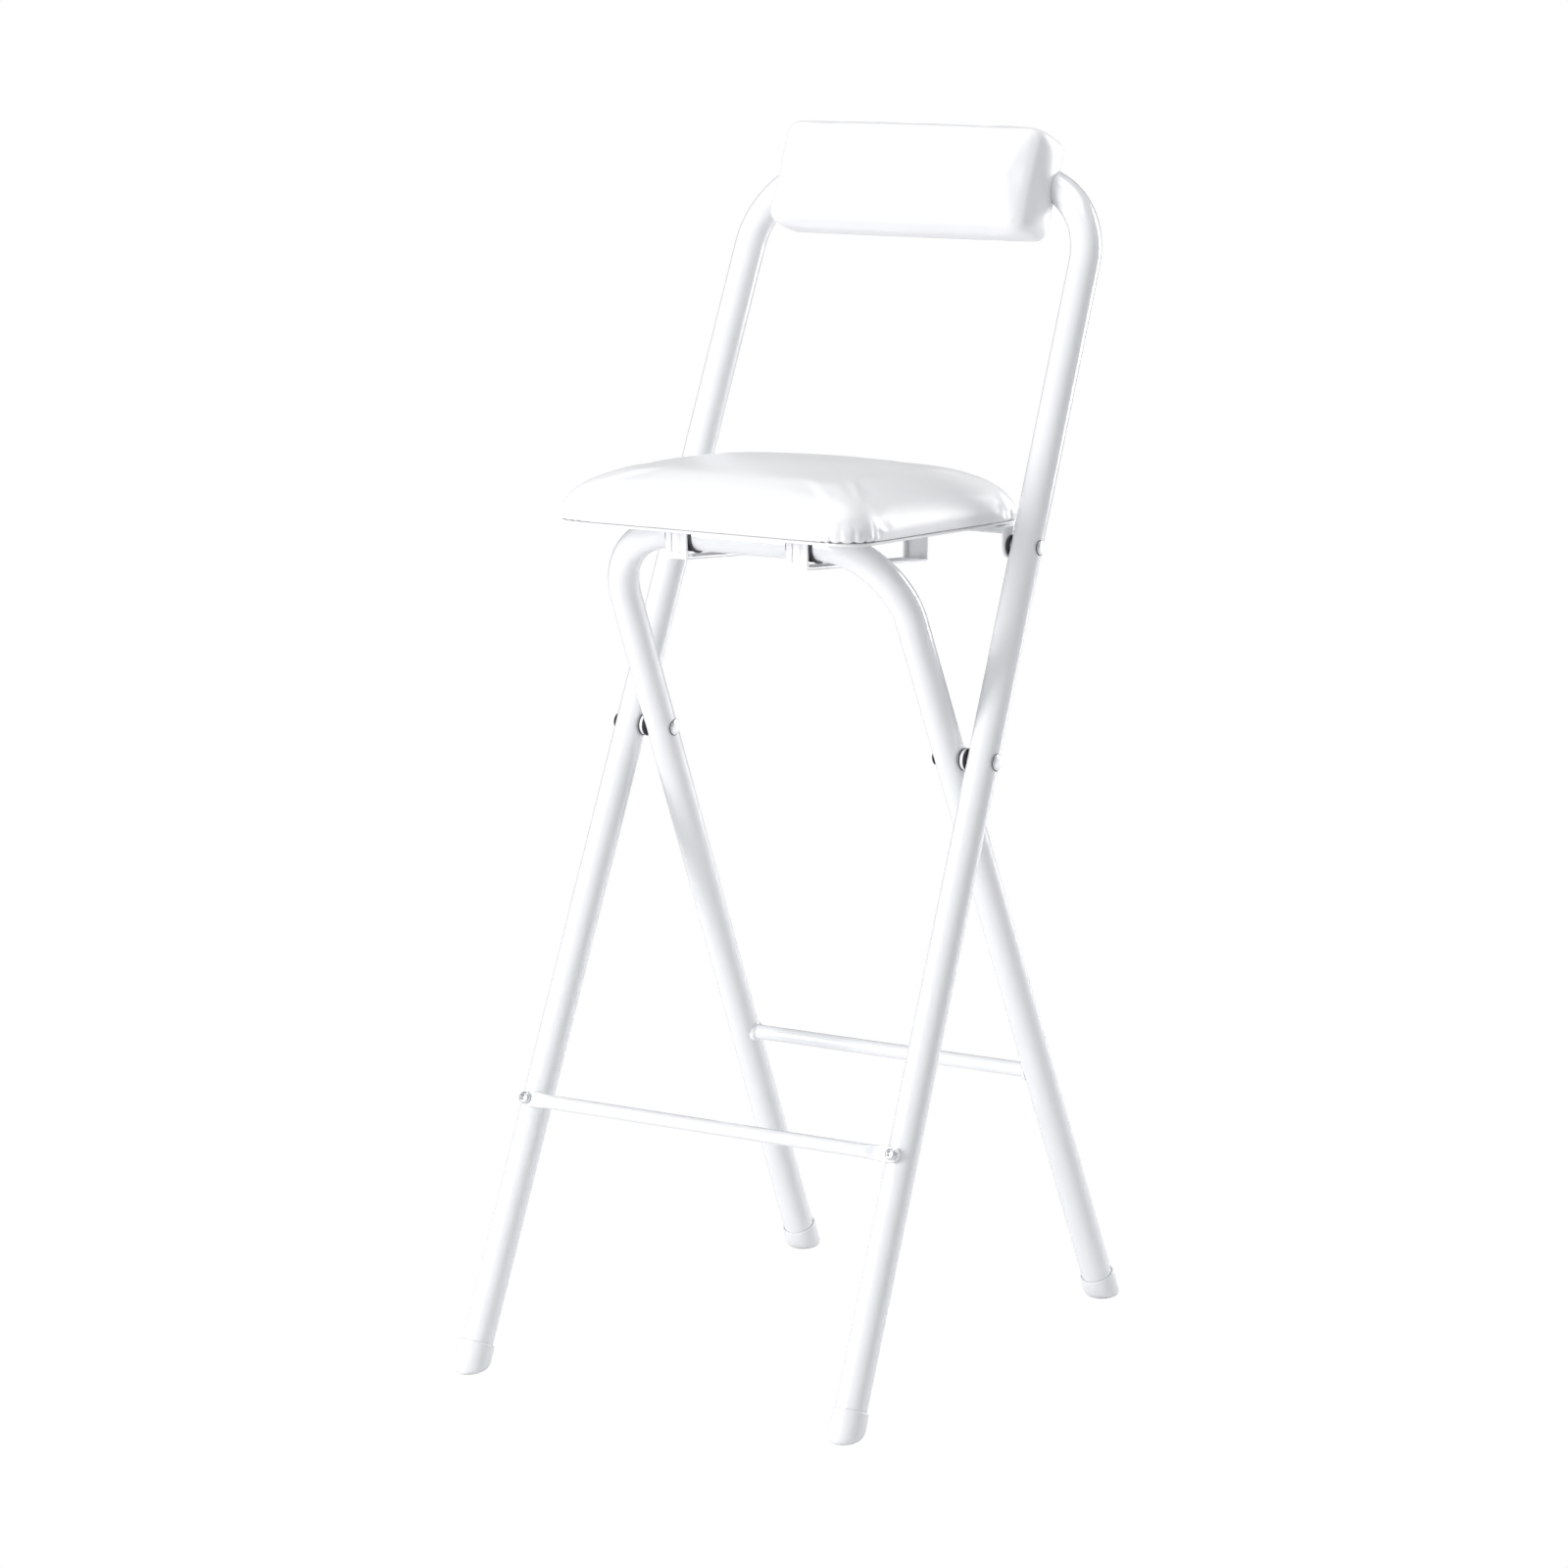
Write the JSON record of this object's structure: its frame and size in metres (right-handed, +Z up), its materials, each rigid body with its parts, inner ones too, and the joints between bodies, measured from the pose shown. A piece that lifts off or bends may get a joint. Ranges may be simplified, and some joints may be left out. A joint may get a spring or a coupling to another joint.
{
  "type": "folding bar stool",
  "caption": "Tall folding stool of white steel tube with a padded seat, a padded back bar and crossbars near the feet.",
  "frame": {"origin": "middle of the stool's footprint at ground level", "axes": "+Z up, the front of the stool towards -Y, +X to the right as seen from the front of the picture"},
  "size_m": [0.3836, 0.4652, 0.9591],
  "materials": {
    "white_paint": "smooth glossy powder coat",
    "white_leather": "satin synthetic leather with a fine grain",
    "white_plastic": "satin moulded plastic",
    "dark_nylon": "satin moulded nylon",
    "zinc": "bright zinc plating",
    "plywood": "bare plywood"
  },
  "bodies": {
    "back_frame": {"back_frame_tube": "white_paint", "front_crossbar": "white_paint", "back_board": "plywood", "back_cushion": "white_leather", "front_foot_left": "white_plastic", "front_foot_right": "white_plastic", "crossbar_bolt_left": "zinc", "crossbar_bolt_right": "zinc", "crossbar_nut_left": "zinc", "crossbar_nut_right": "zinc", "back_screw_left": "zinc", "back_screw_right": "zinc", "pivot_pin_left": "zinc", "pivot_pin_right": "zinc", "pivot_spacer_left": "white_plastic", "pivot_spacer_right": "white_plastic", "hinge_rivet_left": "zinc", "hinge_rivet_right": "zinc"},
    "leg_frame": {"leg_frame_tube": "white_paint", "rear_crossbar": "white_paint", "rear_foot_left": "white_plastic", "rear_foot_right": "white_plastic"},
    "glides": {"glide_left": "dark_nylon", "glide_right": "dark_nylon"},
    "seat": {"seat_pan": "white_paint", "seat_board": "plywood", "seat_cushion": "white_leather", "runner_left": "white_paint", "runner_right": "white_paint", "hinge_bracket_left": "white_paint", "hinge_bracket_right": "white_paint", "hinge_stud_left": "zinc", "hinge_stud_right": "zinc", "runner_screw_front_left": "zinc", "runner_screw_front_right": "zinc", "runner_screw_rear_left": "zinc", "runner_screw_rear_right": "zinc", "bracket_screw_front_left": "zinc", "bracket_screw_front_right": "zinc", "bracket_screw_rear_left": "zinc", "bracket_screw_rear_right": "zinc"}
  },
  "joints": [
    {"name": "leg_fold", "type": "hinge", "parent": "back_frame", "child": "leg_frame", "pos_m": [0, 0.00927, 0.487], "axis": [-1, 0, 0], "range_deg": [0, 47.06]},
    {"name": "glide_turn", "type": "hinge", "parent": "leg_frame", "child": "glides", "pos_m": [0, -0.06455, 0.6599], "axis": [-1, 0, 0], "range_deg": [0, 56.7]},
    {"name": "seat_slide", "type": "slide", "parent": "glides", "child": "seat", "axis": [0, -0.9931, 0.1169], "range_m": [0, 0.1338]}
  ],
  "couplings": [
    {"joint": "glide_turn", "follows": "leg_fold", "ratio": 1.2044},
    {"joint": "seat_slide", "follows": "leg_fold", "m_per_rad": 0.16286}
  ]
}
